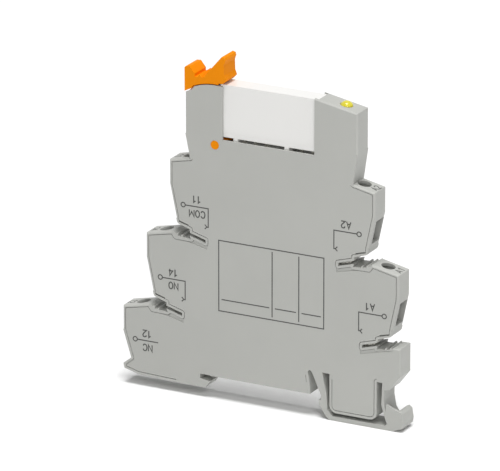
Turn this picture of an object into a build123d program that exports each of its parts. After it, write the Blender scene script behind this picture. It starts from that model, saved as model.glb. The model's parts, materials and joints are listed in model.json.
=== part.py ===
from build123d import *
import math
import os

# Relay module for a mounting rail: a slim terminal housing with a plug-in relay. Millimetres.
# X runs along the length, Y through the thickness with the printed face at -Y, Z away from the rail.
# The origin is at the centre of the seat that lies on the rail.

# Overall slice and walls
module_thickness = 6.2
side_wall = 0.7
edge_wall = 1.0
cover_rim = 0.65
cover_gap = 0.15
rim_chamfer = 0.35
fit_gap = 0.1

# Stepped terminal tiers, counted from the top
tier_tilt = 12.0
tier_pitch_out = 6.85
tier_pitch_down = 20.9
left_tier_reach = 26.1
right_tier_reach = 32.3
tier_top = 56.9
tier_upright = 6.5
slant_run = 1.9
slant_height = 9.0
lip_drop = 1.4
lip_round = 0.5
lip_run = 3.4
lip_fall = 1.1

# Bridge slots between the tiers
slot_length = 4.5
slot_width = 0.85
slot_tilt = 16.0
mouth_run = 4.1
mouth_above = 0.9
mouth_below = 0.9
crest_run = 0.9
rib_height = 0.6
rib_width = 0.3
groove_width = 0.35
groove_depth = 0.6
groove_length = 3.5
slot_frame_depth = 0.2
slot_frame_margin = 1.7

# Relay bay between the two towers
bay_left = -10.9
bay_right = 15.2
bay_floor = 64.3
bay_sink = 1.0
socket_floor = 1.0
tower_left = -21.5
tower_right = 27.3
tower_upright_foot = 64.6
left_shoulder = 20.2
right_shoulder = 26.1
tower_over_relay = 0.4
right_tower_fall = 2.3
right_tower_upright_foot = 66.4

# Plug-in relay
relay_length = 28.0
relay_thickness = 5.0
relay_height = 14.0
relay_foot = 0.7
relay_foot_width = 1.3
relay_foot_places = (-7.5, 7.0)
relay_center = (bay_left + bay_right) / 2
relay_wall = 0.45
relay_base_height = 1.4
pin_width = 1.0
pin_thickness = 0.5
pin_length = 5.2
contact_pins = {"nc": -6.1, "common": -2.9, "no": 0.3}
coil_pin_places = (10.2, 13.4)

# Retaining lever
pivot_x = -13.1
pivot_z = 62.7
pivot_radius = 1.15
hub_radius = 1.75
arc_below_relay = 0.4
shoulder_drop = 0.6
shoulder_run = 1.8
lever_gap = 0.3
lever_left = -21.7
lever_nose = -9.9
lever_rise = 7.4
lever_deck = 1.1
tongue_reach = 4.0
tongue_top = 2.2
tongue_half = 1.0
bay_wall = 0.85

# Mounting foot
seat_half = 14.5
rail_flange = 1.0
rail_half = 17.5
hook_lip = 2.8
hook_depth = 3.4
seam_end = -24.4
foot_bottom = -6.1
foot_bar = 1.1
arm_width = 2.7
box_inset = 2.2
box_bottom = -4.0
box_radius = 2.0
slot_top = 6.5
block_lip = 2.25
arm_run = 6.6
hook_run = 7.5
web_thickness = 0.8

# Terminal screws, clamps and wire entries, measured along the screw
screw_offset = 4.45
screw_hole = 3.7
screw_head = 3.4
screw_head_height = 1.6
screw_sink = 2.9
screw_slot = 0.7
hole_wall = 0.9
screw_shank = 2.5
shelf_thickness = 0.7
clamp_travel = 2.2
clamp_width = 4.4
clamp_depth = 4.4
clamp_height = 7.6
clamp_wall = 0.6
clamp_bridge = 1.6
clamp_floor = 1.0
bar_width = 3.0
bar_thickness = 0.6
entry_width = 4.3
entry_height = 6.4
entry_shift = 0.6
lowest_entry_lift = 1.1

# Conductors and electronics
web_layer = 0.3
tab_thickness = 0.3
board_thickness = 0.8
led_radius = 1.65
led_rise = 1.1
led_place = 22.7
contact_height = 4.2
contact_width = 1.6
contact_leaf = 0.35

half = module_thickness / 2
inner = half - side_wall
slope = math.tan(math.radians(tier_tilt))
relay_bottom = bay_floor + relay_foot
relay_top = relay_bottom + relay_height
relay_left = relay_center - relay_length / 2
relay_right = relay_center + relay_length / 2
right_tower_top = relay_top + tower_over_relay
tower_arc = relay_top - arc_below_relay - pivot_z
lever_floor = relay_top + lever_deck
lever_tip = relay_top + lever_rise
well_floor = bay_floor - bay_sink
socket_top = well_floor - socket_floor
bay_wall_left = relay_left - fit_gap - bay_wall
block_reach = right_tier_reach + tier_pitch_out - slant_run - lip_round - lip_run + mouth_run + block_lip
box_left = rail_half + box_inset
box_right = block_reach - arm_run
latch_reach = box_right + hook_run


def plate(outline, front, back):
    """A flat piece with the given X-Z outline, from one Y to another."""
    shape = make_face(Polyline(*outline, close=True)) if isinstance(outline, list) else outline
    return extrude(Plane.XZ.offset(-back) * shape, amount=back - front, dir=(0, -1, 0))


def block(x0, x1, y0, y1, z0, z1):
    return Pos((x0 + x1) / 2, (y0 + y1) / 2, (z0 + z1) / 2) * Box(x1 - x0, y1 - y0, z1 - z0)


def rod(x, z, radius, front, back):
    """A round piece along Y."""
    return plate(Pos(x, z) * Circle(radius), front, back)


def mirrored(points, side):
    return [(side * u, z) for u, z in points]


# The stepped outline

def tier_corner(side, step):
    reach = left_tier_reach if side < 0 else right_tier_reach
    return reach + step * tier_pitch_out, tier_top - step * tier_pitch_down


def tier_points(side, step, detailed=False):
    """Points from the outer top corner of a tier down to the lip under it, outward positive."""
    out, top = tier_corner(side, step)
    foot = top - tier_upright - slant_height
    lip = out - slant_run
    end = [(lip - lip_round * 0.3, foot - lip_drop * 0.6), (lip - lip_round, foot - lip_drop)]
    return [(out, top), (out, top - tier_upright), (lip, foot), *(end if detailed else [(lip, foot - lip_drop)])]


def mouth_points(side, step, detailed=False):
    """Points round the bridge slot under a tier, from the lip over the ribs to the top of the next tier."""
    lip_u, lip_z = tier_points(side, step)[-1]
    throat_u = lip_u - lip_round - lip_run
    throat_z = lip_z - lip_fall - mouth_above
    fall = slot_length * math.tan(math.radians(slot_tilt))
    floor_z = throat_z - slot_width - mouth_below
    ramp_u = throat_u + mouth_run
    next_out, next_top = tier_corner(side, step + 1)
    crest_u = ramp_u + crest_run
    pocket_u = throat_u + mouth_run / 2
    ribs = [
        (pocket_u, floor_z + 0.1),
        (pocket_u + 0.1, floor_z + 0.1 + rib_height),
        (pocket_u + 0.1 + rib_width, floor_z + 0.1 + rib_height),
        (pocket_u + 0.2 + rib_width, floor_z + 0.2),
        (ramp_u - rib_width - 0.4, floor_z + 0.3),
        (ramp_u - rib_width - 0.3, floor_z + 0.3 + rib_height),
        (ramp_u - 0.3, floor_z + 0.4 + rib_height),
        (ramp_u - 0.2, floor_z + 0.6),
    ]
    return [
        (throat_u, lip_z - lip_fall),
        (throat_u, throat_z),
        (throat_u - slot_length, throat_z - fall),
        (throat_u - slot_length, throat_z - fall - slot_width),
        (throat_u, throat_z - slot_width),
        (throat_u - 0.3, floor_z),
        *(ribs if detailed else [(ramp_u, floor_z + 0.1)]),
        (crest_u, next_top + (next_out - crest_u) * slope),
    ]


def tower_arc_z(x, radius):
    return pivot_z + math.sqrt(radius ** 2 - (x - pivot_x) ** 2)


def left_side(detailed):
    points = [(-left_shoulder, tier_top + (left_tier_reach - left_shoulder) * slope)]
    for step in range(2):
        points += mirrored(tier_points(-1, step, detailed) + mouth_points(-1, step, detailed), -1)
    out, top = tier_corner(-1, 2)
    notch_z = 1.15
    return points + [
        (-out, top), (-out, top - tier_upright), (-out + 2.3, notch_z), (-out, -0.7), (-out + 0.3, -2.0),
        (-out + 4.4, -hook_depth + 0.3), (-out + 15.0, -hook_depth),
    ]


def hook_points():
    """The fixed hook that goes round the left flange of the rail."""
    tip = -rail_half + hook_lip
    return [
        (tip - 1.3, -hook_depth), (tip, -rail_flange - 0.6), (-rail_half, -rail_flange - 0.1),
        (-rail_half, 0.15), (-seat_half, 0.15), (-seat_half, 0),
    ]


def foot_points():
    """The springy right foot: slot, arm with its catch, bottom bar and screwdriver hook."""
    catch = rail_half - 0.2
    return [
        (seat_half - 0.3, 0), (seat_half - 1.0, slot_top - 0.5), (seat_half - 0.5, slot_top),
        (seat_half + 0.2, slot_top - 0.4), (catch, 0.15), (catch, -rail_flange - 0.1),
        (catch - 0.7, -rail_flange - 0.2), (catch - 0.5, -2.3), (catch + 0.7, -4.3), (catch + 1.7, -5.6),
        (catch + 2.8, foot_bottom), (latch_reach - 3.0, foot_bottom), (latch_reach - 0.3, -5.1),
        (latch_reach, -3.6), (latch_reach - 0.4, -1.2), (latch_reach - 1.2, -0.6),
        (latch_reach - 1.9, -0.9), (latch_reach - 3.0, -2.8), (latch_reach - 3.9, -2.9),
        (box_right + 2.6, -1.4), (box_right + 2.0, 1.8), (box_right + 2.1, 4.6),
    ]


def right_side(detailed):
    out, top = block_reach, tier_corner(1, 2)[1] + 1.2
    points = [(out - 3.0, 4.9), (out, 8.9), (out, top), (out - block_lip + 0.1, top - 0.1)]
    lower = mouth_points(1, 1, detailed)[:-1]
    points += lower[::-1] + tier_points(1, 1, detailed)[::-1]
    points += mouth_points(1, 0, detailed)[::-1] + tier_points(1, 0, detailed)[::-1]
    return points + [(right_shoulder, tier_top + (right_tier_reach - right_shoulder) * slope)]


def towers():
    """The bay for the relay and the two towers beside it."""
    right = [
        (tower_right, right_tower_upright_foot), (tower_right, right_tower_top - right_tower_fall),
        (bay_right, right_tower_top), (bay_right, bay_floor), (bay_left, bay_floor),
    ]
    steps = 5
    arc = []
    for i in range(steps + 1):
        x = bay_left + (tower_left + 2.6 - bay_left) * i / steps
        arc.append((x, tower_arc_z(x, tower_arc)))
    step_x = tower_left + shoulder_run
    arc[-1:] = [(step_x + 0.8, tower_arc_z(step_x + 0.8, tower_arc)),
                (step_x, tower_arc_z(step_x, tower_arc) - shoulder_drop),
                (tower_left, tower_arc_z(tower_left, tower_arc) - shoulder_drop)]
    return right + arc + [(tower_left, tower_upright_foot)]


def chamfered_edges():
    """The outer edges of the towers, the tiers and the block, as pairs of points."""
    chains = [
        [(tower_right, right_tower_upright_foot), (tower_right, right_tower_top - right_tower_fall),
         (bay_right, right_tower_top)],
        [(tower_left, tower_upright_foot), (tower_left, tower_arc_z(tower_left, tower_arc) - shoulder_drop)],
        [(-left_shoulder, tier_top + (left_tier_reach - left_shoulder) * slope)] + mirrored(tier_points(-1, 0)[:3], -1),
        [(right_shoulder, tier_top + (right_tier_reach - right_shoulder) * slope)] + tier_points(1, 0)[:3],
        mirrored(mouth_points(-1, 0)[-1:] + tier_points(-1, 1)[:3], -1),
        mouth_points(1, 0)[-1:] + tier_points(1, 1)[:3],
        mirrored(mouth_points(-1, 1)[-1:] + tier_points(-1, 2)[:2], -1),
        [(block_reach - block_lip, tier_corner(1, 2)[1] + 1.2), (block_reach, tier_corner(1, 2)[1] + 1.2),
         (block_reach, 8.9)],
    ]
    return [pair for chain in chains for pair in zip(chain, chain[1:])]


def rim_bars(y):
    """Square bars laid with a corner along the outer edges, to chamfer the face at this Y."""
    bars = []
    side = rim_chamfer * math.sqrt(2)
    for (x0, z0), (x1, z1) in chamfered_edges():
        angle = math.degrees(math.atan2(z1 - z0, x1 - x0))
        bar = Rot(45, 0, 0) * Box(math.hypot(x1 - x0, z1 - z0), side, side)
        bars.append(Pos((x0 + x1) / 2, y, (z0 + z1) / 2) * Rot(0, -angle, 0) * bar)
    return bars


def window_face():
    """The U-shaped gap round the box between the two foot arms."""
    arm_foot = rail_half + arm_width - 1.1
    bar_top = foot_bottom + foot_bar
    ring = make_face(Polyline(
        (rail_half + 0.1, slot_top - 0.1), (box_left, slot_top - 0.1), (box_left, bar_top + 3.5),
        (box_right, bar_top + 3.5), (box_right, slot_top), (box_right + 1.6, slot_top),
        (box_right + 1.3, 0.5), (box_right + 2.2, -2.4), (box_right + 2.9, -4.4), (box_right + 2.4, bar_top),
        (arm_foot + 1.4, bar_top), (arm_foot, bar_top + 1.4), (arm_foot - 0.3, 0.8), close=True))
    box = Pos((box_left + box_right) / 2, (box_bottom + slot_top) / 2) * RectangleRounded(
        box_right - box_left, slot_top - box_bottom, box_radius)
    return ring - box


def outline_face(detailed):
    points = towers() + left_side(detailed) + hook_points() + foot_points() + right_side(detailed)
    return make_face(Polyline(*points, close=True)) - window_face()


outline = outline_face(True)
foot_zone = make_face(Polyline(
    (seat_half - 0.3, foot_bottom - 5), (latch_reach + 6, foot_bottom - 5), (latch_reach + 6, slot_top - 1.4),
    (box_right + 4.2, slot_top - 1.4), (box_right + 0.8, slot_top - 0.3), (seat_half - 0.3, slot_top - 0.3),
    close=True))
box_zone = Pos((box_left + box_right) / 2, 1.5) * Rectangle(box_right - box_left, 11)
body_face = outline_face(False) - (foot_zone - box_zone)
tower_zone = Pos(relay_center, tier_top + 16.6) * Rectangle(tower_right - tower_left + 2, 31)
seat_zone = Pos((seam_end + seat_half - 1.1) / 2, 1 - hook_depth / 2) * Rectangle(
    seat_half - 1.1 - seam_end, 2 + hook_depth + 2)
arm_zone = Pos((seat_half + box_left) / 2, slot_top) * Rectangle(box_left - seat_half + 5, 3)
block_zone = Pos(block_reach, slot_top + 4.5) * Rectangle(2 * arm_run, 13)
cavity_face = offset(body_face, amount=-edge_wall, kind=Kind.ARC)


def cover_outline(inset):
    """The cover lies inside the rim, and runs out to the edge at the towers, the rail seat and the block."""
    inside = offset(body_face, amount=-inset, kind=Kind.ARC)
    for zone in (tower_zone, seat_zone, arm_zone, block_zone):
        inside += body_face & zone
    return inside


# Terminals: each is built upright in its own frame, then leaned out by the tilt of its tier

terminals = {"11": (-1, 0), "14": (-1, 1), "12": (-1, 2), "a2": (1, 0), "a1": (1, 1)}


def terminal_frame(side, step):
    out, top = tier_corner(side, step)
    at = Pos(side * (out - screw_offset), 0, top + screw_offset * slope)
    return at * Rot(0, side * tier_tilt, 0)


head_top = -screw_sink
head_foot = head_top - screw_head_height
shelf_foot = head_foot - shelf_thickness
clamp_top = shelf_foot - fit_gap * 3 - clamp_travel
bar_top = clamp_top - clamp_bridge
clamp_foot = clamp_top - clamp_height


def terminal_screw():
    head = Pos(0, 0, (head_top + head_foot) / 2) * Cylinder(screw_head / 2, screw_head_height)
    slot = Pos(0, 0, head_top) * Box(screw_head, screw_slot, 2 * screw_slot)
    shank_length = head_foot - bar_top - fit_gap / 2
    shank = Pos(0, 0, head_foot - shank_length / 2) * Cylinder(screw_shank / 2, shank_length)
    return head - slot + shank


def terminal_clamp():
    cage = block(-clamp_width / 2, clamp_width / 2, -clamp_depth / 2, clamp_depth / 2, clamp_foot, clamp_top)
    room = block(-clamp_width, clamp_width, -clamp_depth / 2 + clamp_wall, clamp_depth / 2 - clamp_wall,
                 clamp_foot + clamp_floor, clamp_top - clamp_bridge)
    hole = Pos(0, 0, clamp_top) * Cylinder(screw_shank / 2 + fit_gap / 2, 2 * clamp_bridge + 1)
    return cage - room - hole


def terminal_cuts(side, lift):
    """What a terminal takes out of the housing: the screw hole, the room over the screw and the wire entry."""
    bore = Pos(0, 0, head_foot + 5) * Cylinder(screw_hole / 2, 10)
    hole = Pos(0, 0, head_foot) * Cylinder(screw_shank / 2 + fit_gap, 4 * shelf_thickness)
    room_half = screw_hole / 2 + 0.35
    room = block(-room_half, room_half, -inner, inner, head_top + fit_gap, -hole_wall)
    entry_foot = clamp_foot + clamp_floor
    entry = block(0, 9, entry_shift - entry_width / 2, entry_shift + entry_width / 2, entry_foot + lift,
                  entry_foot + entry_height)
    entry = entry if side > 0 else mirror(entry, about=Plane.YZ)
    return bore + hole + room + entry


def terminal_carrier():
    """The block in the housing that holds the screw head."""
    return block(-screw_hole / 2 - 0.7, screw_hole / 2 + 0.7, -inner, inner, shelf_foot, 0)


def chamber_ribs(side):
    """The wall beside a clamp with the window for its bar, and the floor under it."""
    wall_u = clamp_width / 2 + 2 * fit_gap
    wall = block(-wall_u - 0.7, -wall_u, -inner, inner, clamp_foot - 1.0, shelf_foot)
    window = block(-wall_u - 1, -wall_u + 1, -bar_width / 2 - fit_gap, bar_width / 2 + fit_gap,
                   bar_top - bar_thickness - fit_gap, bar_top + fit_gap)
    floor = block(-wall_u - 0.7, wall_u, -inner, inner, clamp_foot - 0.8, clamp_foot - fit_gap)
    ribs = wall - window + floor
    return ribs if side > 0 else mirror(ribs, about=Plane.YZ)


# Housing and side cover

def relay_pocket():
    room = relay_thickness / 2 + fit_gap
    return block(relay_left - fit_gap, relay_right + fit_gap, -room, room, well_floor, lever_tip)


def lever_room():
    """The open channel in the left tower in which the lever swings."""
    sweep = [(pivot_x - 2.2, pivot_z - 2.2), (pivot_x + 2.2, pivot_z - 2.2), (bay_wall_left, bay_floor),
             (bay_wall_left, lever_tip), (tower_left - 2, lever_tip), (tower_left - 2, tower_upright_foot)]
    return plate(sweep, -inner, inner)


def tongue_slot():
    """The room for the lever's tongue in the floor of the bay and in the wall beside the relay."""
    floor_room = block(pivot_x - 1, pivot_x + tongue_reach + 0.6, -inner, inner, pivot_z - 0.8, bay_floor + 1)
    swing_top = pivot_z + math.hypot(tongue_reach, tongue_top) + fit_gap
    wall_room = block(bay_wall_left - 0.3, relay_left, -tongue_half - 2 * fit_gap, tongue_half + 2 * fit_gap,
                      well_floor, swing_top)
    return floor_room + wall_room


def pin_slots():
    slots = Part()
    for x in list(contact_pins.values()) + list(coil_pin_places):
        slots += block(x - pin_width / 2 - fit_gap, x + pin_width / 2 + fit_gap, -pin_thickness,
                       pin_thickness, socket_top - 1, bay_floor)
    return slots


def bridge_windows():
    """The holes at the ends of the bridge slots through which the contact tabs reach in."""
    windows = Part()
    for name, (side, step) in terminals.items():
        if name != "12":
            end_u, end_z = mouth_points(side, step)[3]
            middle = block(-1.3, 0.4, -bar_width / 2 - fit_gap, bar_width / 2 + fit_gap, 0.02, tab_thickness + 0.12)
            middle = middle if side > 0 else mirror(middle, about=Plane.YZ)
            windows += Pos(side * end_u, 0, end_z) * Rot(0, -side * slot_tilt, 0) * middle
    return windows


def thin_grooves(front, depth):
    """The straight grooves above the lips under the upper tiers."""
    grooves = Part()
    for name, (side, step) in terminals.items():
        if name != "12":
            lip_u, lip_z = tier_points(side, step)[2]
            fall = groove_length * math.tan(math.radians(slot_tilt))
            line = [(lip_u, lip_z - 0.3), (lip_u, lip_z - 0.3 - groove_width),
                    (lip_u - groove_length, lip_z - 0.3 - groove_width - fall),
                    (lip_u - groove_length, lip_z - 0.3 - fall)]
            grooves += plate(mirrored(line, side), front, front + depth)
    return grooves


def slot_frames():
    """The shallow recesses in the printed face round the bridge slots."""
    frames = Part()
    for name, (side, step) in terminals.items():
        if name != "12":
            throat_u, throat_z = mouth_points(side, step)[4]
            end_u = throat_u - slot_length - 0.8
            foot = throat_z - slot_length * math.tan(math.radians(slot_tilt)) - slot_frame_margin
            rise = math.tan(math.radians(tier_tilt + 1))
            reach = slot_length + 5.0
            line = [(end_u + 0.4, foot), (end_u, foot + slot_frame_margin * 1.6),
                    (end_u + reach, foot + slot_frame_margin * 1.6 + reach * rise), (end_u + reach, foot + reach * rise)]
            frames += plate(mirrored(line, side), -half, -half + slot_frame_depth)
    return frames


def housing():
    shell = plate(outline, -half, half)
    shell -= plate(cavity_face, -inner, inner)
    shell -= plate(cover_outline(cover_rim), -half, -inner)
    inside = plate(body_face, -inner, inner)
    for side, step in terminals.values():
        frame = terminal_frame(side, step)
        shell += inside & (frame * (terminal_carrier() + chamber_ribs(side)))
    wall_top = tower_arc_z(bay_left, tower_arc) - 0.25
    shell += block(bay_wall_left, relay_right + edge_wall, -inner, inner, socket_top, well_floor)
    shell += block(bay_wall_left, relay_left - fit_gap, -inner, inner, well_floor, wall_top)
    shell += block(relay_right + fit_gap, relay_right + edge_wall, -inner, inner, well_floor, right_tower_top - 0.6)
    web = [(box_right + 2.6, 0.8), (latch_reach - 0.5, -0.9), (latch_reach - 0.2, -3.0), (box_right + 2.6, -3.4)]
    shell += plate(web, -half, -half + web_thickness)
    shell -= lever_room() + tongue_slot() + relay_pocket() + pin_slots() + bridge_windows()
    shell -= rod(pivot_x, pivot_z, pivot_radius + fit_gap / 2, 0, half)
    shell -= led_hole()
    for name, (side, step) in terminals.items():
        shell -= terminal_frame(side, step) * terminal_cuts(side, lowest_entry_lift if name == "12" else 0)
    for bar in rim_bars(-half) + rim_bars(half):
        shell -= bar
    return shell.solids().sort_by(SortBy.VOLUME)[-1]


def side_cover():
    cover = plate(cover_outline(cover_rim + cover_gap), -half, -inner) - relay_pocket() - slot_frames()
    cover -= thin_grooves(-half, groove_depth)
    cover -= rod(pivot_x, pivot_z, pivot_radius + fit_gap / 2, -half, 0)
    for bar in rim_bars(-half):
        cover -= bar
    return cover.solids().sort_by(SortBy.VOLUME)[-1]


# Retaining lever

def lever_outline():
    """The lever's head: an arched underside, a hooked nose over the relay, ribs and an upright end."""
    under_end = relay_left - 0.3
    lip_arc = tower_arc + lever_gap - shoulder_drop * 0.9
    lip_end = tower_left + shoulder_run - lever_gap
    under = [(lever_left, tower_arc_z(tower_left, lip_arc)), (lip_end, tower_arc_z(lip_end, lip_arc))]
    steps = 5
    arc_start = lip_end + 0.8
    for i in range(steps + 1):
        x = arc_start + (under_end - arc_start) * i / steps
        under.append((x, tower_arc_z(x, tower_arc + lever_gap)))
    nose = [(under_end, relay_top + 0.25), (relay_left + 1.1, relay_top + 0.3), (lever_nose, relay_top + 1.3),
            (lever_nose - 0.5, relay_top + 2.6), (lever_nose - 0.6, relay_top + 5.2), (lever_nose - 0.2, lever_tip - 0.9),
            (lever_nose - 0.4, lever_tip - 0.2), (lever_nose - 1.2, lever_tip), (lever_nose - 6.2, lever_floor + 0.5)]
    ribs = [(lever_left + 5.0, lever_floor), (lever_left + 4.3, lever_floor + 0.8), (lever_left + 3.6, lever_floor),
            (lever_left + 2.9, lever_floor), (lever_left + 2.9, lever_floor + 0.8),
            (lever_left + 1.5, lever_floor + 2.5), (lever_left + 0.3, lever_floor + 2.4),
            (lever_left, lever_floor + 2.1)]
    return under + nose + ribs


def retaining_lever():
    head = plate(lever_outline(), -half, half)
    inner_half = inner - fit_gap
    arm = plate([
        (pivot_x - 1.5, pivot_z + 0.8), (tower_left + 0.6, pivot_z + 9.6), (tower_left + 0.6, pivot_z + 13.0),
        (tower_left + 3.0, pivot_z + tower_arc), (bay_wall_left - 0.45, pivot_z + tower_arc + lever_gap),
        (bay_wall_left - 0.45, pivot_z + 1.6),
    ], -inner_half, inner_half)
    hub = rod(pivot_x, pivot_z, hub_radius, -inner_half, inner_half) + rod(pivot_x, pivot_z, pivot_radius, -half, half)
    tongue = plate([
        (pivot_x, pivot_z + 0.4), (pivot_x + tongue_reach, pivot_z + tongue_top - 0.7),
        (pivot_x + tongue_reach, pivot_z + tongue_top), (pivot_x + 0.8, pivot_z + tongue_top),
    ], -tongue_half, tongue_half)
    core = block(tower_left + 3.4, bay_wall_left - 2.4, -1.5, 1.5, pivot_z + 8, pivot_z + tower_arc - 2.4)
    return (head + arm - core + hub + tongue).solids().sort_by(SortBy.VOLUME)[-1]


# Plug-in relay

def relay_cover():
    height = relay_height - relay_base_height
    shell = block(relay_left, relay_right, -relay_thickness / 2, relay_thickness / 2, relay_top - height, relay_top)
    room = block(relay_left + relay_wall, relay_right - relay_wall, -relay_thickness / 2 + relay_wall,
                 relay_thickness / 2 - relay_wall, relay_bottom, relay_top - relay_wall)
    return fillet(shell.edges().filter_by(Axis.Z), 0.3) - room


def relay_base():
    floor_top = relay_bottom + relay_base_height
    base = block(relay_left + 0.05, relay_right - 0.05, -relay_thickness / 2 + 0.05, relay_thickness / 2 - 0.05,
                 relay_bottom, floor_top)
    for x in relay_foot_places:
        base += block(x - relay_foot_width / 2, x + relay_foot_width / 2, -relay_thickness / 2 + 0.05,
                      relay_thickness / 2 - 0.05, well_floor, relay_bottom)
    for x in list(contact_pins.values()) + list(coil_pin_places):
        base -= block(x - pin_width / 2, x + pin_width / 2, -pin_thickness / 2, pin_thickness / 2,
                      relay_bottom - 1, floor_top + 1)
    return base


base_top = relay_bottom + relay_base_height
coil_left = 3.6
coil_right = 13.4
coil_middle = base_top + 5.2
coil_height = 6.0
coil_width = 3.6
flange = 0.6
core_height = 2.4
core_width = 1.2
yoke_thickness = 0.8
armature_thickness = 0.7
core_stub = 0.3
armature_gap = 0.5
armature_x = coil_left - flange - core_stub - armature_gap - armature_thickness
card_z = base_top + 10.4
spring_x = contact_pins["common"]
spring_thickness = 0.2
spring_height = 9.4
contact_travel = 0.65
card_play = 0.06
contact_z = base_top + 8.6


def relay_bobbin():
    length = coil_right - coil_left
    tube = Pos((coil_left + coil_right) / 2, 0, coil_middle) * Box(length, core_width + 1.2, core_height + 1.0)
    for x in (coil_left - flange, coil_right):
        tube += block(x, x + flange, -coil_width / 2 - 0.1, coil_width / 2 + 0.1,
                      coil_middle - coil_height / 2 - 0.3, coil_middle + coil_height / 2 + 0.3)
    bore = Pos((coil_left + coil_right) / 2, 0, coil_middle) * Box(length + 4, core_width, core_height)
    return tube - bore


def relay_coil():
    length = coil_right - coil_left
    outer = Pos(0, 0, 0) * RectangleRounded(coil_width, coil_height, 1.2)
    winding = extrude(Plane.YZ.offset(coil_left) * outer, amount=length)
    room = Pos((coil_left + coil_right) / 2, 0, 0) * Box(length + 1, core_width + 1.2, core_height + 1.0)
    return Pos(0, 0, coil_middle) * (winding - room)


def relay_core():
    return block(coil_left - flange - core_stub, coil_right + flange, -core_width / 2, core_width / 2,
                 coil_middle - core_height / 2, coil_middle + core_height / 2)


def relay_yoke():
    end = coil_right + flange
    foot = block(armature_x + armature_thickness + 0.15, end + yoke_thickness, -1.6, 1.6, base_top,
                 base_top + yoke_thickness)
    upright = block(end, end + yoke_thickness, -1.6, 1.6, base_top, coil_middle + coil_height / 2)
    return foot + upright - block(armature_x, coil_pin_places[1] + 1, -0.45, 0.45, base_top - 1, base_top + 0.35)


def relay_armature():
    plate_part = block(armature_x, armature_x + armature_thickness, -1.6, 1.6, base_top + 0.1, card_z + 0.9)
    return plate_part - block(armature_x - 1, armature_x + 2, -0.7, 0.7, card_z - 0.45, card_z + 2)


def relay_card():
    bar = block(spring_x + spring_thickness / 2 + card_play, armature_x - card_play, -1.4, 1.4, card_z - 0.4, card_z + 0.4)
    tongue = block(armature_x - card_play, armature_x + armature_thickness + 0.4, -0.6, 0.6, card_z - 0.35, card_z + 0.35)
    return bar + tongue


def relay_common_spring():
    leaf = block(spring_x - spring_thickness / 2, spring_x + spring_thickness / 2, -1.2, 1.2, base_top + 0.4,
                 base_top + 0.4 + spring_height + 1.4)
    rivet = Pos(spring_x, 0, contact_z) * Rot(0, 90, 0) * Cylinder(0.8, 0.9)
    return leaf + rivet


def contact_pin(x, top):
    """A flat pin that goes down through the base into the socket."""
    return block(x - pin_width / 2, x + pin_width / 2, -pin_thickness / 2, pin_thickness / 2,
                 relay_bottom - pin_length, top)


def relay_common_pin():
    return contact_pin(spring_x, base_top + 0.3)


def fixed_contact(name, side, gap):
    """A fixed contact blade beside the moving spring, with its rivet and its pin."""
    face = spring_x + side * (0.45 + gap)
    blade = face + side * 0.35
    low, high = sorted((blade, blade + side * 0.3))
    part = block(low, high, -1.2, 1.2, base_top, contact_z + 1.2)
    part += Pos((face + blade) / 2, 0, contact_z) * Rot(0, 90, 0) * Cylinder(0.8, abs(blade - face) + 0.02)
    x = contact_pins[name]
    low, high = sorted((x, blade + side * 0.3))
    part += block(low - pin_width / 2 * (low == x), high + pin_width / 2 * (high == x), -pin_thickness / 2,
                  pin_thickness / 2, base_top, base_top + 0.3)
    return part + contact_pin(x, base_top + 0.3)


def coil_pin(index):
    x = coil_pin_places[index]
    return contact_pin(x, base_top + 0.3)


# Socket contacts, bars and electronics

contact_foot = socket_top - contact_height
board_leg = 2.4
band_width = 1.2
front_layer = -0.95


def socket_contact(x, leg):
    """A fork that grips a relay pin from both sides, with a leg to the board where it has one."""
    grip = pin_thickness / 2 + 0.03
    outer = block(x - contact_width / 2, x + contact_width / 2, -grip - contact_leaf, grip + contact_leaf,
                  socket_top - contact_height, socket_top)
    fork = outer - block(x - contact_width, x + contact_width, -grip, grip, socket_top - contact_height + 0.5,
                         socket_top + 1)
    if leg:
        fork += block(x - 0.4, x + 0.4, -web_layer, web_layer, contact_foot - leg, contact_foot)
    return fork


def strip(points, layer):
    """A flat band that follows a chain of points in the X-Z plane, centred on a layer in Y."""
    band = Part()
    for (x0, z0), (x1, z1) in zip(points, points[1:]):
        length = math.hypot(x1 - x0, z1 - z0) + band_width
        angle = math.degrees(math.atan2(z1 - z0, x1 - x0))
        run = Pos((x0 + x1) / 2, (z0 + z1) / 2) * Rot(0, 0, angle) * Rectangle(length, band_width)
        band += plate(run, layer - web_layer, layer + web_layer)
    return band


def terminal_point(side, step, u, w):
    """A point of a terminal's own frame as X and Z of the module."""
    place = (terminal_frame(side, step) * Pos(side * u, 0, w)).position
    return place.X, place.Z


def busbar(name, route, layer):
    """The bar from a clamp: the part under the screw, the web, and the tab in the bridge slot."""
    side, step = terminals[name]
    reach = clamp_width / 2 + 2.4
    pad = block(-reach, clamp_width / 2 - 0.5, -bar_width / 2, bar_width / 2, bar_top - bar_thickness, bar_top)
    pad = pad if side > 0 else mirror(pad, about=Plane.YZ)
    bar = terminal_frame(side, step) * pad
    start = terminal_point(side, step, -reach + 0.4, bar_top - bar_thickness / 2)
    bar += strip([start] + route, layer)
    end_x, end_z = route[-1]
    if end_x < contact_pins["no"] + 1:
        bar += block(end_x - band_width / 2, end_x + band_width / 2, layer - web_layer, web_layer, end_z, contact_foot)
    if name != "12":
        end_u, end_z = mouth_points(side, step)[3]
        tab = block(-1.6, slot_length * 0.7, -bar_width / 2, bar_width / 2, 0.05, 0.05 + tab_thickness)
        tab = tab if side > 0 else mirror(tab, about=Plane.YZ)
        bar += Pos(side * end_u, 0, end_z) * Rot(0, -side * slot_tilt, 0) * tab
        drop_u = side * (end_u - 1.6)
        bar += strip([(drop_u, end_z), (drop_u, start[1] - 2.0), start], layer)
    return bar


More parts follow.
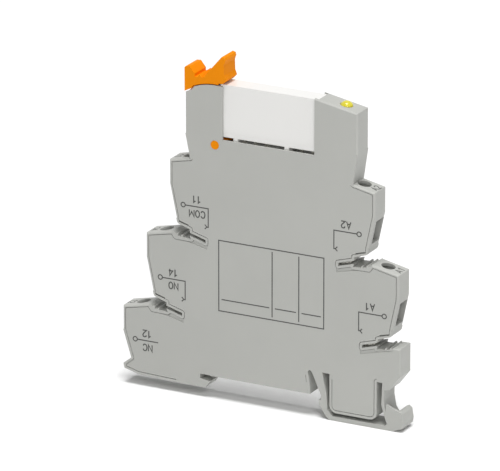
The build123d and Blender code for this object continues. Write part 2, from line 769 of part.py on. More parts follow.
contact_end = contact_foot - band_width / 2
board_left = coil_pin_places[0] - 2.0
board_right = coil_pin_places[1] + 4.1
board_foot = tier_top - 32.9
board_top = contact_foot - 0.1
neck_left = led_place - 3.7
neck_right = led_place + 1.1
routes = {
    "11": [(contact_pins["common"], contact_foot - 4.0), (contact_pins["common"], contact_end)],
    "14": [(contact_pins["nc"] - 3.4, tier_top - 23.9), (contact_pins["no"], contact_foot - 8.0),
           (contact_pins["no"], contact_end)],
    "12": [(contact_pins["nc"] - 12.9, tier_top - 46.4), (contact_pins["nc"], tier_top - 29.9),
           (contact_pins["nc"], contact_end)],
    "a2": [(board_right - 2.5, tier_top - 9.4)],
    "a1": [(board_right - 3.5, board_foot + 3.0)],
}


board_back = web_layer + board_thickness


def on_board(x, z, length, height, depth):
    """An electronic part with its foot on the back face of the board."""
    return block(x - length / 2, x + length / 2, board_back, board_back + depth, z - height / 2, z + height / 2)


def led_top():
    return right_tower_top - (led_place - bay_right) * right_tower_fall / (tower_right - bay_right)


board_head = led_top() - 4.0


def circuit_board():
    """The board beside the coil contacts, with a neck that runs up to the status light."""
    edge = [(board_left, board_foot), (board_right, board_foot), (board_right, board_top - 8.0),
            (board_right + 3.0, board_top - 4.0), (board_right + 3.0, board_top + 3.0), (neck_right, board_top + 6.0),
            (neck_right, board_head), (neck_left, board_head), (neck_left, board_top), (board_left, board_top)]
    return plate(edge, web_layer, board_back)


def led_hole():
    return Pos(led_place, 0, led_top()) * Cylinder(led_radius + fit_gap / 2, 4)


def indicator_led():
    foot = led_top() - 3.0
    body = Pos(led_place, 0, (foot + led_top()) / 2) * Cylinder(led_radius, led_top() - foot)
    ball = (led_radius ** 2 + led_rise ** 2) / (2 * led_rise)
    dome = Pos(led_place, 0, led_top() + led_rise - ball) * Sphere(ball) & Pos(led_place, 0, led_top() + 1) * Box(
        4 * led_radius, 4 * led_radius, 2)
    leads = block(led_place - 0.9, led_place - 0.5, -0.2, web_layer, board_head - 2, foot)
    leads += block(led_place + 0.5, led_place + 0.9, -0.2, web_layer, board_head - 2, foot)
    return body + dome + leads


parts = {
    "housing": housing(),
    "side_cover": side_cover(),
    "retaining_lever": retaining_lever(),
    "relay_cover": relay_cover(),
    "relay_base": relay_base(),
    "relay_bobbin": relay_bobbin(),
    "relay_coil": relay_coil(),
    "relay_core": relay_core(),
    "relay_yoke": relay_yoke(),
    "relay_armature": relay_armature(),
    "relay_card": relay_card(),
    "relay_common_spring": relay_common_spring(),
    "relay_common_pin": relay_common_pin(),
    "relay_contact_nc": fixed_contact("nc", -1, 0.02),
    "relay_contact_no": fixed_contact("no", 1, contact_travel),
    "relay_coil_pin_a1": coil_pin(0),
    "relay_coil_pin_a2": coil_pin(1),
    "circuit_board": circuit_board(),
    "rectifier": on_board(board_left + 4.8, board_top - 14, 4.6, 3.9, 1.2),
    "series_resistor": on_board(board_left + 3.8, board_top - 22, 3.2, 1.6, 0.6),
    "led_resistor": on_board(led_place - 1.3, board_head - 8, 1.6, 3.2, 0.6),
    "suppressor_diode": on_board(board_left + 4.8, board_top - 6, 4.3, 2.6, 1.1),
    "indicator_led": indicator_led(),
}
for name, (side, step) in terminals.items():
    parts["screw_" + name] = terminal_frame(side, step) * terminal_screw()
    parts["clamp_" + name] = terminal_frame(side, step) * terminal_clamp()
    parts["busbar_" + name] = busbar(name, routes[name], front_layer if name == "12" else 0)
for name, x in contact_pins.items():
    parts["socket_contact_" + name] = socket_contact(x, 0)
for name, x in zip(("a1", "a2"), coil_pin_places):
    parts["socket_contact_" + name] = socket_contact(x, board_leg)

os.makedirs("parts", exist_ok=True)
for name, part in parts.items():
    export_step(part, f"parts/{name}.step")
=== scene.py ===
"""Relay module: finishes for the moulded, metal and clear pieces, the printed marks, and the studio."""
import json
import math

import bmesh
import bpy
from bpy.props import FloatProperty, FloatVectorProperty, PointerProperty
from mathutils import Matrix, Vector


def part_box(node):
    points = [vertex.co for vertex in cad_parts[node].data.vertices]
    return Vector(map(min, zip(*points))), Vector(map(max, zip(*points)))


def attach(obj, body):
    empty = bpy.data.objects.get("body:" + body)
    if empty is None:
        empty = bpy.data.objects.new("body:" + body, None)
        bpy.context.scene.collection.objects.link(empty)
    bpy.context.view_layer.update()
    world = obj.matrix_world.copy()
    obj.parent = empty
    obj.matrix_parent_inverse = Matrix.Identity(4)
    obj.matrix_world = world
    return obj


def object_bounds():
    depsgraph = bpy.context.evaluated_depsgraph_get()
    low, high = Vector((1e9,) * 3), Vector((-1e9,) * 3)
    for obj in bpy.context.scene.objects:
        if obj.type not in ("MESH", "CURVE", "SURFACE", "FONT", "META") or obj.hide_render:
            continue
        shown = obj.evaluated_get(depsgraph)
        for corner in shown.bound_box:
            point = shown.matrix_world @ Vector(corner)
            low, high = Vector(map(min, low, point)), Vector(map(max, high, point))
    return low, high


bl_info = {
    "name": "Relay module",
    "version": (1, 0, 0),
    "blender": (4, 5, 0),
    "location": "3D View > Sidebar > Relay module",
    "description": "Finishes the relay module and sets up its studio",
    "category": "Object",
}

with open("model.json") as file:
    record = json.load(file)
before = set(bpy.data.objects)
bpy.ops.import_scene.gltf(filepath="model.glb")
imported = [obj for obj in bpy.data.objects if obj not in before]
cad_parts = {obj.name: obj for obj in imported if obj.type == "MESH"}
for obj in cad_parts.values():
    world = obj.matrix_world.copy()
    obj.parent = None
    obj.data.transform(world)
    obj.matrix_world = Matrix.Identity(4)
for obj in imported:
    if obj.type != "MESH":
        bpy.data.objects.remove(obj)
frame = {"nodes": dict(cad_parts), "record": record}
CAD_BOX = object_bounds()
MM = 0.001

# Letters as chains of points on a grid one letter high, for a monoline print
LETTERS = {
    "1": [[(0.08, 0.76), (0.36, 1.0), (0.36, 0.0)]],
    "2": [[(0.02, 0.74), (0.10, 0.93), (0.31, 1.0), (0.52, 0.92), (0.58, 0.70), (0.46, 0.46),
           (0.0, 0.0), (0.62, 0.0)]],
    "4": [[(0.62, 0.28), (0.0, 0.28), (0.46, 1.0), (0.46, 0.0)]],
    "A": [[(0.0, 0.0), (0.33, 1.0), (0.66, 0.0)], [(0.13, 0.34), (0.53, 0.34)]],
    "C": [[(0.62, 0.74), (0.50, 0.94), (0.31, 1.0), (0.10, 0.90), (0.0, 0.62), (0.0, 0.38), (0.10, 0.10),
           (0.31, 0.0), (0.50, 0.06), (0.62, 0.26)]],
    "M": [[(0.0, 0.0), (0.0, 1.0), (0.38, 0.28), (0.76, 1.0), (0.76, 0.0)]],
    "N": [[(0.0, 0.0), (0.0, 1.0), (0.60, 0.0), (0.60, 1.0)]],
    "O": [[(0.31 + 0.31 * math.cos(math.tau * i / 16), 0.5 + 0.5 * math.sin(math.tau * i / 16))
           for i in range(17)]],
}
# The gap between letters and the least width of one, on the same grid
LETTER_GAP = 0.24
NARROWEST_LETTER = 0.5
# The joints of the screws lie this far below the tops of the tiers
SCREW_JOINT_DEPTH = 0.004

# The printed table: its sides and its header line, in millimetres
TABLE_LEFT, TABLE_RIGHT = -12.0, 18.0
TABLE_LOW, TABLE_HIGH = 18.25, 37.3
TABLE_HEADER = 21.4
TABLE_COLUMNS = (TABLE_LEFT, 3.3, 10.9, TABLE_RIGHT)
# The table's inner lines stop short of its frame and of each other
COLUMN_INSET = 0.7
HEADER_INSET = 0.8
# The fork at the end of a symbol's line: how far past the line it stands, and its length and half its width
FORK_BACK = 0.4
FORK_SIZE = 0.6

# The camera looks at a point this far right of, above and up from the origin
AIM_RIGHT, AIM_ABOVE, AIM_HEIGHT = -0.00411, -0.00043, 0.040
SENSOR_WIDTH = 36.0
FAR_CLIP = 20.0
FLOOR_SIZE = 3.0
FLOOR_WHITE = (0.97, 0.97, 0.97)

# Rounding of the relay's case, and of the metal parts
CASE_ROUND = 0.0001
METAL_ROUND = 0.00006
WELD_DISTANCE = 0.000001
SHARP_ANGLE = math.radians(28)
# Points of the print closer than this are one point
PRINT_MERGE = 1e-8
# A printed line's corner reaches out no further than its half width over this
SHARPEST_MITRE = 0.4
# Most of a noise lies between these values
NOISE_LOW, NOISE_HIGH = 0.3, 0.7


def length(name, description, default):
    return FloatProperty(name=name, description=description, default=default, min=0.0, unit="LENGTH",
                         precision=6)


def number(name, description, default, **limits):
    return FloatProperty(name=name, description=description, default=default, **limits)


def vector(name, description, default, **unit):
    return FloatVectorProperty(name=name, description=description, default=default, size=3, **unit)


def colour(name, description, default):
    return FloatVectorProperty(name=name, description=description, default=default, subtype="COLOR", size=3,
                               min=0.0, max=1.0)


def angle(name, description, degrees):
    return FloatProperty(name=name, description=description, default=math.radians(degrees), subtype="ANGLE")


# Settings

class RelayBodySettings(bpy.types.PropertyGroup):
    """Moulded housing, lever and relay case."""
    housing_colour: colour("Housing", "Light warm grey of the housing and its cover", (0.436, 0.440, 0.415))
    lever_colour: colour("Lever", "Orange of the retaining lever", (0.830, 0.255, 0.001))
    relay_colour: colour("Relay case", "Off-white of the plug-in relay", (0.785, 0.780, 0.760))
    edge_round: length("Edge rounding", "Rounding of the moulded edges", 0.00016)
    lever_round: length("Lever rounding", "Rounding of the lever's edges", 0.00025)
    grain_size: length("Grain size", "Size of the spark-eroded grain on the mouldings", 0.00022)
    grain_depth: length("Grain depth", "Depth of that grain", 0.000008)


class RelayPrintSettings(bpy.types.PropertyGroup):
    """Marks printed on the side cover and on the tiers."""
    ink: colour("Ink", "Dark grey of the print", (0.072, 0.072, 0.068))
    ink_depth: length("Ink depth", "Thickness of the printed film", 0.00001)
    line_width: length("Line width", "Width of the symbol lines", 0.00031)
    letter_height: length("Letter height", "Height of the terminal marks", 0.0018)
    letter_stroke: length("Letter stroke", "Width of the lines in the letters", 0.00034)
    tier_letter_height: length("Tier letter height", "Height of the numbers on the tier tops", 0.0018)
    tier_letter_reach: length("Tier letter reach", "From the middle of a screw hole to its number", 0.0033)
    ring_radius: length("Ring radius", "Radius of the terminal circles", 0.0006)


class RelayStageSettings(bpy.types.PropertyGroup):
    """Camera, lights and floor."""
    azimuth: angle("Azimuth", "Camera angle round the object", 27.3)
    elevation: angle("Elevation", "Camera angle above the horizon", 19.3)
    distance: length("Distance", "Camera distance from its target", 1.7794)
    lens: number("Lens", "Focal length of the camera", 504.0, min=1.0, unit="CAMERA")
    floor_drop: length("Floor drop", "Floor below the lowest point of the foot", 0.00005)
    overhead_strength: number("Overhead strength", "Strength of the light from above", 2.75, min=0.0)
    overhead_spread: angle("Overhead spread", "Angular size of the light from above", 26.0)
    overhead_direction: vector("Overhead direction", "Where the light from above stands",
                               (0.08, -0.12, 0.98))
    softbox_place: vector("Softbox place", "Where the front softbox stands", (0.22, -0.26, 0.28),
                          unit="LENGTH")
    softbox_aim: length("Softbox aim", "Height that the front softbox points at", 0.09)
    softbox_size: length("Softbox size", "Side of the front softbox", 0.16)
    softbox_power: number("Softbox power", "Power of the front softbox", 0.45, min=0.0)
    fill_strength: number("Fill strength", "Light from all round", 0.2, min=0.0)


# Materials

def shader(name):
    """A new material with its tree, its Principled shader and a coordinate node."""
    material = bpy.data.materials.new(name)
    material.use_nodes = True
    tree = material.node_tree
    return material, tree, tree.nodes["Principled BSDF"], tree.nodes.new("ShaderNodeTexCoord")


def noise(tree, coords, scale, detail=2.0, roughness=0.5):
    node = tree.nodes.new("ShaderNodeTexNoise")
    node.inputs["Scale"].default_value = scale
    node.inputs["Detail"].default_value = detail
    node.inputs["Roughness"].default_value = roughness
    tree.links.new(coords.outputs["Object"], node.inputs["Vector"])
    return node


def spread(tree, source, low, high):
    """Maps the usual range of a noise to a range of values."""
    node = tree.nodes.new("ShaderNodeMapRange")
    node.inputs["From Min"].default_value = NOISE_LOW
    node.inputs["From Max"].default_value = NOISE_HIGH
    node.inputs["To Min"].default_value = low
    node.inputs["To Max"].default_value = high
    tree.links.new(source, node.inputs["Value"])
    return node.outputs["Result"]


def tinted(tree, principled, source, base, low, high):
    """Varies the base colour between two shades of itself."""
    ramp = tree.nodes.new("ShaderNodeValToRGB")
    ramp.color_ramp.elements[0].position = NOISE_LOW
    ramp.color_ramp.elements[1].position = NOISE_HIGH
    ramp.color_ramp.elements[0].color = (*[c * low for c in base], 1.0)
    ramp.color_ramp.elements[1].color = (*[min(1.0, c * high) for c in base], 1.0)
    tree.links.new(source, ramp.inputs["Fac"])
    tree.links.new(ramp.outputs["Color"], principled.inputs["Base Color"])


def bump(tree, principled, source, distance):
    node = tree.nodes.new("ShaderNodeBump")
    node.inputs["Distance"].default_value = distance
    node.inputs["Strength"].default_value = 1.0
    tree.links.new(source, node.inputs["Height"])
    tree.links.new(node.outputs["Normal"], principled.inputs["Normal"])


def moulded_plastic(name, base, grain_size, grain_depth, roughness, clouding=0.02, gloss=0.45):
    """Moulded plastic: fine spark-eroded grain, faint flow clouding and a slightly uneven sheen."""
    material, tree, principled, coords = shader(name)
    clouds = noise(tree, coords, scale=55.0, detail=3.0)
    tinted(tree, principled, clouds.outputs["Fac"], base, low=1.0 - clouding, high=1.0 + clouding)
    sheen = noise(tree, coords, scale=260.0)
    uneven = spread(tree, sheen.outputs["Fac"], low=roughness - 0.05, high=roughness + 0.05)
    tree.links.new(uneven, principled.inputs["Roughness"])
    grain = noise(tree, coords, scale=1.0 / grain_size, detail=3.0, roughness=0.65)
    bump(tree, principled, grain.outputs["Fac"], distance=grain_depth)
    principled.inputs["Specular IOR Level"].default_value = gloss
    return material


def plated_steel(name, base, roughness):
    """Zinc-plated or drawn metal with fine rolling marks, narrow along Y, and small stains."""
    material, tree, principled, coords = shader(name)
    stretch = tree.nodes.new("ShaderNodeMapping")
    stretch.inputs["Scale"].default_value = (1.0, 6.0, 1.0)
    tree.links.new(coords.outputs["Object"], stretch.inputs["Vector"])
    marks = noise(tree, coords, scale=2600.0, detail=4.0)
    tree.links.new(stretch.outputs["Vector"], marks.inputs["Vector"])
    stains = noise(tree, coords, scale=420.0, detail=3.0)
    tinted(tree, principled, stains.outputs["Fac"], base, low=0.86, high=1.06)
    uneven = spread(tree, marks.outputs["Fac"], low=roughness - 0.08, high=roughness + 0.1)
    tree.links.new(uneven, principled.inputs["Roughness"])
    bump(tree, principled, marks.outputs["Fac"], distance=0.000006)
    principled.inputs["Metallic"].default_value = 1.0
    return material


def wound_copper(name, base):
    """Enamelled wire: fine turns side by side along the coil, with painted shade darkening the grooves
    between them and painted light on their crests.
    """
    material, tree, principled, coords = shader(name)
    turns = tree.nodes.new("ShaderNodeTexWave")
    turns.bands_direction = "X"
    turns.inputs["Scale"].default_value = 1100.0
    turns.inputs["Distortion"].default_value = 0.4
    tree.links.new(coords.outputs["Object"], turns.inputs["Vector"])
    # Painted shade: the same bands as the bump darken the colour in the grooves between the turns and
    # lighten it on their crests
    tinted(tree, principled, turns.outputs["Fac"], base, low=0.55, high=1.15)
    bump(tree, principled, turns.outputs["Fac"], distance=0.00003)
    principled.inputs["Metallic"].default_value = 0.8
    principled.inputs["Roughness"].default_value = 0.35
    return material


def board_laminate(name, base):
    """Green lacquer over a woven glass laminate."""
    material, tree, principled, coords = shader(name)
    weave = tree.nodes.new("ShaderNodeTexChecker")
    weave.inputs["Scale"].default_value = 1500.0
    tree.links.new(coords.outputs["Object"], weave.inputs["Vector"])
    tinted(tree, principled, weave.outputs["Fac"], base, low=0.8, high=1.1)
    bump(tree, principled, weave.outputs["Fac"], distance=0.000006)
    principled.inputs["Roughness"].default_value = 0.25
    return material


def clear_yellow(name, base):
    """Tinted clear resin with a soft inner glow from the scattering filler."""
    material, tree, principled, coords = shader(name)
    filler = noise(tree, coords, scale=900.0, detail=3.0)
    tinted(tree, principled, filler.outputs["Fac"], base, low=0.9, high=1.1)
    bump(tree, principled, filler.outputs["Fac"], distance=0.00001)
    principled.inputs["Roughness"].default_value = 0.18
    principled.inputs["Subsurface Weight"].default_value = 0.35
    principled.inputs["Subsurface Radius"].default_value = (0.001, 0.0009, 0.0002)
    principled.inputs["Coat Weight"].default_value = 0.3
    principled.inputs["Coat Roughness"].default_value = 0.08
    return material


def printed_ink(name, base):
    """Dark print with a slightly mottled film."""
    material, tree, principled, coords = shader(name)
    mottle = noise(tree, coords, scale=3000.0, detail=3.0)
    tinted(tree, principled, mottle.outputs["Fac"], base, low=0.8, high=1.35)
    bump(tree, principled, mottle.outputs["Fac"], distance=0.000004)
    principled.inputs["Roughness"].default_value = 0.6
    return material


def dress(node, material):
    """Gives a CAD node its material."""
    obj = frame["nodes"][node]
    obj.data.materials.clear()
    obj.data.materials.append(material)
    return obj


def rounded_edges(obj, width, segments=2):
    """Closes the loose triangles of a CAD node and rounds its sharp edges, without touching its mesh."""
    weld = obj.modifiers.new("Close", "WELD")
    weld.merge_threshold = WELD_DISTANCE
    edge = obj.modifiers.new("Round", "BEVEL")
    edge.width = width
    edge.segments = segments
    edge.limit_method = "ANGLE"
    edge.angle_limit = SHARP_ANGLE
    edge.harden_normals = False
    edge.use_clamp_overlap = True


# Building blocks for new pieces

def finished(name, bm, material, body):
    """Turns a bmesh into a piece at the origin that rides on a body."""
    mesh = bpy.data.meshes.new(name)
    bm.to_mesh(mesh)
    bm.free()
    mesh.materials.append(material)
    obj = bpy.data.objects.new(name, mesh)
    bpy.context.scene.collection.objects.link(obj)
    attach(obj, body)


def on_face(x, z, y, turn=0.0):
    """A place on the printed face: local x runs along the object, local y up, local z out of the face."""
    flat = Matrix.Rotation(math.radians(90), 4, "X")
    return Matrix.Translation((x * MM, y, z * MM)) @ flat @ Matrix.Rotation(turn, 4, "Z")


def add_ribbon(bm, place, points, width, depth, closed=False):
    """A printed line with mitred corners along a chain of points in metres, raised by the film's depth."""
    path = [Vector((x, y)) for x, y in points]
    last = len(path) - 1
    rails = []
    for i, point in enumerate(path):
        before = (point - path[i - 1]).normalized() if closed or i > 0 else None
        after = (path[(i + 1) % len(path)] - point).normalized() if closed or i < last else None
        before = before or after
        after = after or before
        across = Vector((-before.y - after.y, before.x + after.x)).normalized()
        reach = width / 2 / max(SHARPEST_MITRE, across.dot(Vector((-before.y, before.x))))
        rails.append([bm.verts.new(place @ (point + side * reach * across).to_3d())
                      for side in (1, -1)])
    strip = []
    for i in range(len(path) if closed else last):
        (a, b), (d, c) = rails[i], rails[(i + 1) % len(path)]
        strip.append(bm.faces.new((a, b, c, d)))
    raised = bmesh.ops.extrude_face_region(bm, geom=strip)["geom"]
    lift = (place.to_3x3() @ Vector((0.0, 0.0, 1.0))) * depth
    bmesh.ops.translate(bm, vec=lift, verts=[v for v in raised if isinstance(v, bmesh.types.BMVert)])


def circle(x, z, radius, steps=28):
    turns = [math.tau * i / steps for i in range(steps)]
    return [(x + radius * math.cos(turn), z + radius * math.sin(turn)) for turn in turns]


def add_word(bm, text, place, height, stroke, depth):
    """A printed word in monoline letters, centred on its place."""
    widths = [max([NARROWEST_LETTER] + [x for chain in LETTERS[letter] for x, y in chain])
              for letter in text]
    start = -(sum(widths) + LETTER_GAP * (len(text) - 1)) / 2
    for letter, letter_width in zip(text, widths):
        for chain in LETTERS[letter]:
            points = [((start + x) * height, (y - 0.5) * height) for x, y in chain]
            add_ribbon(bm, place, points, stroke, depth)
        start += letter_width + LETTER_GAP


def tidy(bm):
    """Joins the points that fall together and turns every face outward."""
    bmesh.ops.remove_doubles(bm, verts=bm.verts, dist=PRINT_MERGE)
    bmesh.ops.recalc_face_normals(bm, faces=bm.faces)


# Operators

class RELAY_OT_mouldings(bpy.types.Operator):
    """Finish the housing, its side cover and the lever"""
    bl_idname = "relay.mouldings"
    bl_label = "Mouldings"

    def execute(self, context):
        sizes = context.scene.relay_body
        housing = moulded_plastic("housing_grey", sizes.housing_colour, sizes.grain_size,
                                  sizes.grain_depth, 0.52)
        for node in ("housing", "side_cover"):
            rounded_edges(dress(node, housing), sizes.edge_round)
        lever = moulded_plastic("lever_orange", sizes.lever_colour, sizes.grain_size,
                                sizes.grain_depth * 0.6, 0.6, clouding=0.05, gloss=0.08)
        rounded_edges(dress("retaining_lever", lever), sizes.lever_round, 3)
        return {"FINISHED"}


class RELAY_OT_plug_in_relay(bpy.types.Operator):
    """Finish the plug-in relay and what it holds"""
    bl_idname = "relay.plug_in_relay"
    bl_label = "Plug-in relay"

    def execute(self, context):
        sizes = context.scene.relay_body
        case = moulded_plastic("relay_white", sizes.relay_colour, sizes.grain_size,
                               sizes.grain_depth * 0.3, 0.34, clouding=0.01)
        for node in ("relay_cover", "relay_base", "relay_card"):
            rounded_edges(dress(node, case), CASE_ROUND)
        bobbin = moulded_plastic("bobbin_black", (0.012, 0.012, 0.014), sizes.grain_size,
                                 sizes.grain_depth, 0.45, clouding=0.1)
        dress("relay_bobbin", bobbin)
        dress("relay_coil", wound_copper("coil_wire", (0.55, 0.17, 0.07)))
        iron = plated_steel("soft_iron", (0.42, 0.42, 0.41), 0.42)
        for node in ("relay_core", "relay_yoke", "relay_armature"):
            dress(node, iron)
        return {"FINISHED"}


class RELAY_OT_metalwork(bpy.types.Operator):
    """Finish the screws, clamps, bars, contacts and pins"""
    bl_idname = "relay.metalwork"
    bl_label = "Metalwork"

    def execute(self, context):
        zinc = plated_steel("zinc_plate", (0.60, 0.61, 0.60), 0.32)
        tinned = plated_steel("tinned_brass", (0.80, 0.78, 0.72), 0.24)
        bronze = plated_steel("spring_bronze", (0.62, 0.42, 0.22), 0.28)
        kinds = {"screw_": zinc, "clamp_": zinc, "busbar_": tinned, "socket_contact_": bronze,
                 "relay_contact_": tinned, "relay_coil_pin_": tinned, "relay_common_pin": tinned,
                 "relay_common_spring": bronze}
        for node in frame["nodes"]:
            for start, material in kinds.items():
                if node.startswith(start):
                    rounded_edges(dress(node, material), METAL_ROUND)
        return {"FINISHED"}


class RELAY_OT_electronics(bpy.types.Operator):
    """Finish the board, its parts and the status light"""
    bl_idname = "relay.electronics"
    bl_label = "Electronics"

    def execute(self, context):
        sizes = context.scene.relay_body
        dress("circuit_board", board_laminate("board_green", (0.02, 0.14, 0.05)))
        resin = moulded_plastic("part_black", (0.015, 0.015, 0.017), sizes.grain_size,
                                sizes.grain_depth, 0.5, clouding=0.1)
        for node in ("rectifier", "series_resistor", "led_resistor", "suppressor_diode"):
            dress(node, resin)
        dress("indicator_led", clear_yellow("led_resin", (0.66, 0.58, 0.012)))
        return {"FINISHED"}


class RELAY_OT_face_print(bpy.types.Operator):
    """Print the terminal marks, circuit symbols and the bare table on the side cover"""
    bl_idname = "relay.face_print"
    bl_label = "Face print"

    def execute(self, context):
        sizes = context.scene.relay_print
        face_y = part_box("side_cover")[0][1]
        flat = on_face(0.0, 0.0, face_y)
        bm = bmesh.new()
        width, depth = sizes.line_width, sizes.ink_depth
        radius = sizes.ring_radius / MM

        def line(*points, closed=False):
            add_ribbon(bm, flat, [(x * MM, z * MM) for x, z in points], width, depth, closed)

        # Circle x and z, end of its line, drop of the line, marks above and below it, in millimetres
        symbols = (
            (-22.2, 45.3, -15.0, 5.0, ("11", -18.3, 47.3), ("COM", -18.2, 43.4)),
            (-28.9, 24.6, -21.7, 5.0, ("14", -25.2, 26.4), ("NO", -25.1, 22.8)),
            (-36.3, 6.5, -29.6, 0.0, ("12", -32.9, 8.4), ("NC", -32.7, 4.6)),
            (27.9, 45.3, 20.8, 4.9, ("A2", 24.2, 47.2), None),
            (35.1, 24.5, 27.9, 5.0, ("A1", 31.1, 26.4), None),
        )
        for x, z, end, drop, *marks in symbols:
            inward = 1 if end > x else -1
            line(*circle(x, z, radius), closed=True)
            route = [(x + inward * radius, z), (end, z)]
            if drop:
                fork = end - inward * FORK_BACK
                tips = fork - inward * FORK_SIZE
                route += [(end, z - drop), (fork, z - drop)]
                line((tips, z - drop + FORK_SIZE), (fork, z - drop), (tips, z - drop - FORK_SIZE))
            line(*route)
            for mark in marks:
                if mark:
                    word, word_x, word_z = mark
                    add_word(bm, word, on_face(word_x, word_z, face_y, math.pi), sizes.letter_height,
                             sizes.letter_stroke, depth)
        line((TABLE_LEFT, TABLE_LOW), (TABLE_RIGHT, TABLE_LOW), (TABLE_RIGHT, TABLE_HIGH),
             (TABLE_LEFT, TABLE_HIGH), closed=True)
        for x in TABLE_COLUMNS[1:-1]:
            line((x, TABLE_LOW + COLUMN_INSET), (x, TABLE_HIGH - COLUMN_INSET))
        for start, end in zip(TABLE_COLUMNS, TABLE_COLUMNS[1:]):
            line((start + HEADER_INSET, TABLE_HEADER), (end - HEADER_INSET, TABLE_HEADER))
        tidy(bm)
        finished("face_print", bm, printed_ink("print_ink", sizes.ink), "module_base")
        return {"FINISHED"}


class RELAY_OT_tier_numbers(bpy.types.Operator):
    """Mark the terminal numbers beside the screw holes on the tier tops"""
    bl_idname = "relay.tier_numbers"
    bl_label = "Tier numbers"

    def execute(self, context):
        sizes = context.scene.relay_print
        bm = bmesh.new()
        for joint in frame["record"]["behaviour"]["joints"]:
            if joint["name"].startswith("screw_turn_"):
                outward = Vector(joint["axis"]) * -1.0
                side = 1 if outward.x > 0 else -1
                slope = Vector((side * outward.z, 0.0, -side * outward.x))
                top = Vector(joint["pos_m"]) + outward * SCREW_JOINT_DEPTH
                centre = top + slope * sizes.tier_letter_reach
                lean = Matrix.Rotation(math.atan2(outward.x, outward.z), 4, "Y")
                place = Matrix.Translation(centre) @ lean @ Matrix.Rotation(side * math.radians(90), 4, "Z")
                terminal = joint["name"].split("_")[-1].upper()
                add_word(bm, terminal, place, sizes.tier_letter_height, sizes.letter_stroke,
                         sizes.ink_depth)
        tidy(bm)
        finished("tier_numbers", bm, printed_ink("tier_ink", sizes.ink), "module_base")
        return {"FINISHED"}


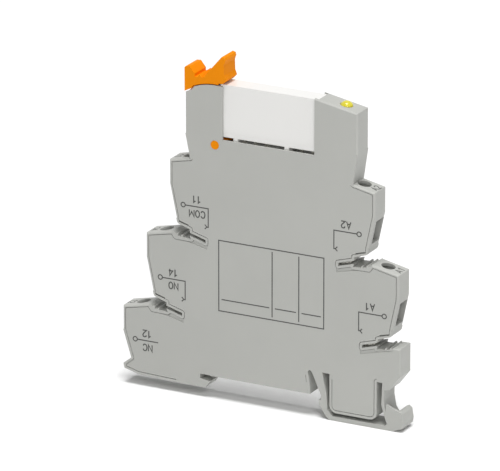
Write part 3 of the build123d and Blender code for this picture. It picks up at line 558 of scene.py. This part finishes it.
class RELAY_OT_studio(bpy.types.Operator):
    """Set up the camera, the soft lights and the white floor"""
    bl_idname = "relay.studio"
    bl_label = "Studio"

    def execute(self, context):
        sizes = context.scene.relay_stage
        scene = context.scene
        scene.view_settings.view_transform = "Standard"
        self.camera(scene, sizes)
        self.lights(scene, sizes)
        self.floor(scene, sizes)
        self.world(scene, sizes)
        return {"FINISHED"}

    def camera(self, scene, sizes):
        """A long lens with no shift, turned to the photograph's angle."""
        azimuth, elevation = sizes.azimuth, sizes.elevation
        back = Vector((math.sin(azimuth) * math.cos(elevation), -math.cos(azimuth) * math.cos(elevation),
                       math.sin(elevation)))
        right = Vector((math.cos(azimuth), math.sin(azimuth), 0.0))
        up = back.cross(right)
        target = right * AIM_RIGHT + up * AIM_ABOVE + Vector((0.0, 0.0, AIM_HEIGHT))
        data = bpy.data.cameras.new("photo_camera")
        data.lens = sizes.lens
        data.sensor_width = SENSOR_WIDTH
        data.clip_end = FAR_CLIP
        camera = bpy.data.objects.new("photo_camera", data)
        turn = Matrix((right, up, back)).transposed().to_4x4()
        camera.matrix_world = Matrix.Translation(target + back * sizes.distance) @ turn
        scene.collection.objects.link(camera)
        scene.camera = camera

    def lights(self, scene, sizes):
        """A broad light from above and a softbox in front; the world fills in the rest."""
        overhead = bpy.data.lights.new("overhead_light", "SUN")
        overhead.energy = sizes.overhead_strength
        overhead.angle = sizes.overhead_spread
        softbox = bpy.data.lights.new("front_softbox", "AREA")
        softbox.shape = "SQUARE"
        softbox.size = sizes.softbox_size
        softbox.energy = sizes.softbox_power
        target = Vector((0.0, 0.0, sizes.softbox_aim))
        lamps = ((overhead, sizes.overhead_direction, Vector()),
                 (softbox, sizes.softbox_place, target))
        for data, place, toward in lamps:
            lamp = bpy.data.objects.new(data.name, data)
            lamp.location = place
            lamp.rotation_euler = (Vector(place) - toward).to_track_quat("Z", "Y").to_euler()
            scene.collection.objects.link(lamp)

    def floor(self, scene, sizes):
        level = CAD_BOX[0][2] - sizes.floor_drop
        bm = bmesh.new()
        bmesh.ops.create_grid(bm, x_segments=1, y_segments=1, size=FLOOR_SIZE,
                              matrix=Matrix.Translation((0.0, 0.0, level)))
        mesh = bpy.data.meshes.new("studio_floor")
        bm.to_mesh(mesh)
        bm.free()
        floor = bpy.data.objects.new("studio_floor", mesh)
        scene.collection.objects.link(floor)
        material, tree, principled, coords = shader("floor_white")
        mottle = noise(tree, coords, scale=3.0)
        tinted(tree, principled, mottle.outputs["Fac"], FLOOR_WHITE, low=0.995, high=1.0)
        principled.inputs["Roughness"].default_value = 0.7
        principled.inputs["Specular IOR Level"].default_value = 0.1
        mesh.materials.append(material)

    def world(self, scene, sizes):
        """White where it is seen directly, in a gloss or through something, and a dimmer fill elsewhere."""
        world = bpy.data.worlds.new("studio_world")
        world.use_nodes = True
        scene.world = world
        tree = world.node_tree
        sky = tree.nodes["Background"]
        sky.inputs["Color"].default_value = (1.0, 1.0, 1.0, 1.0)
        path = tree.nodes.new("ShaderNodeLightPath")
        seen = tree.nodes.new("ShaderNodeMath")
        seen.operation = "MAXIMUM"
        tree.links.new(path.outputs["Is Camera Ray"], seen.inputs[0])
        tree.links.new(path.outputs["Is Glossy Ray"], seen.inputs[1])
        also = tree.nodes.new("ShaderNodeMath")
        also.operation = "MAXIMUM"
        tree.links.new(seen.outputs[0], also.inputs[0])
        tree.links.new(path.outputs["Is Transmission Ray"], also.inputs[1])
        level = tree.nodes.new("ShaderNodeMapRange")
        level.inputs["To Min"].default_value = sizes.fill_strength
        level.inputs["To Max"].default_value = 1.0
        tree.links.new(also.outputs[0], level.inputs["Value"])
        tree.links.new(level.outputs["Result"], sky.inputs["Strength"])


OPERATORS = (RELAY_OT_mouldings, RELAY_OT_plug_in_relay, RELAY_OT_metalwork, RELAY_OT_electronics,
             RELAY_OT_face_print, RELAY_OT_tier_numbers, RELAY_OT_studio)


class RELAY_PT_sidebar(bpy.types.Panel):
    """Lists the steps that finish the relay module"""
    bl_idname = "RELAY_PT_sidebar"
    bl_label = "Relay module"
    bl_space_type = "VIEW_3D"
    bl_region_type = "UI"
    bl_category = "Relay module"

    def draw(self, context):
        for operator in OPERATORS:
            self.layout.operator(operator.bl_idname)
        for group in (context.scene.relay_body, context.scene.relay_print, context.scene.relay_stage):
            box = self.layout.box()
            for name in group.__annotations__:
                box.prop(group, name)


CLASSES = (RelayBodySettings, RelayPrintSettings, RelayStageSettings, *OPERATORS, RELAY_PT_sidebar)


def register():
    for cls in CLASSES:
        bpy.utils.register_class(cls)
    bpy.types.Scene.relay_body = PointerProperty(type=RelayBodySettings)
    bpy.types.Scene.relay_print = PointerProperty(type=RelayPrintSettings)
    bpy.types.Scene.relay_stage = PointerProperty(type=RelayStageSettings)


def unregister():
    for name in ("relay_body", "relay_print", "relay_stage"):
        delattr(bpy.types.Scene, name)
    for cls in reversed(CLASSES):
        bpy.utils.unregister_class(cls)


def main():
    register()
    bpy.ops.relay.mouldings()
    bpy.ops.relay.plug_in_relay()
    bpy.ops.relay.metalwork()
    bpy.ops.relay.electronics()
    bpy.ops.relay.face_print()
    bpy.ops.relay.tier_numbers()
    bpy.ops.relay.studio()


if __name__ == "__main__":
    main()
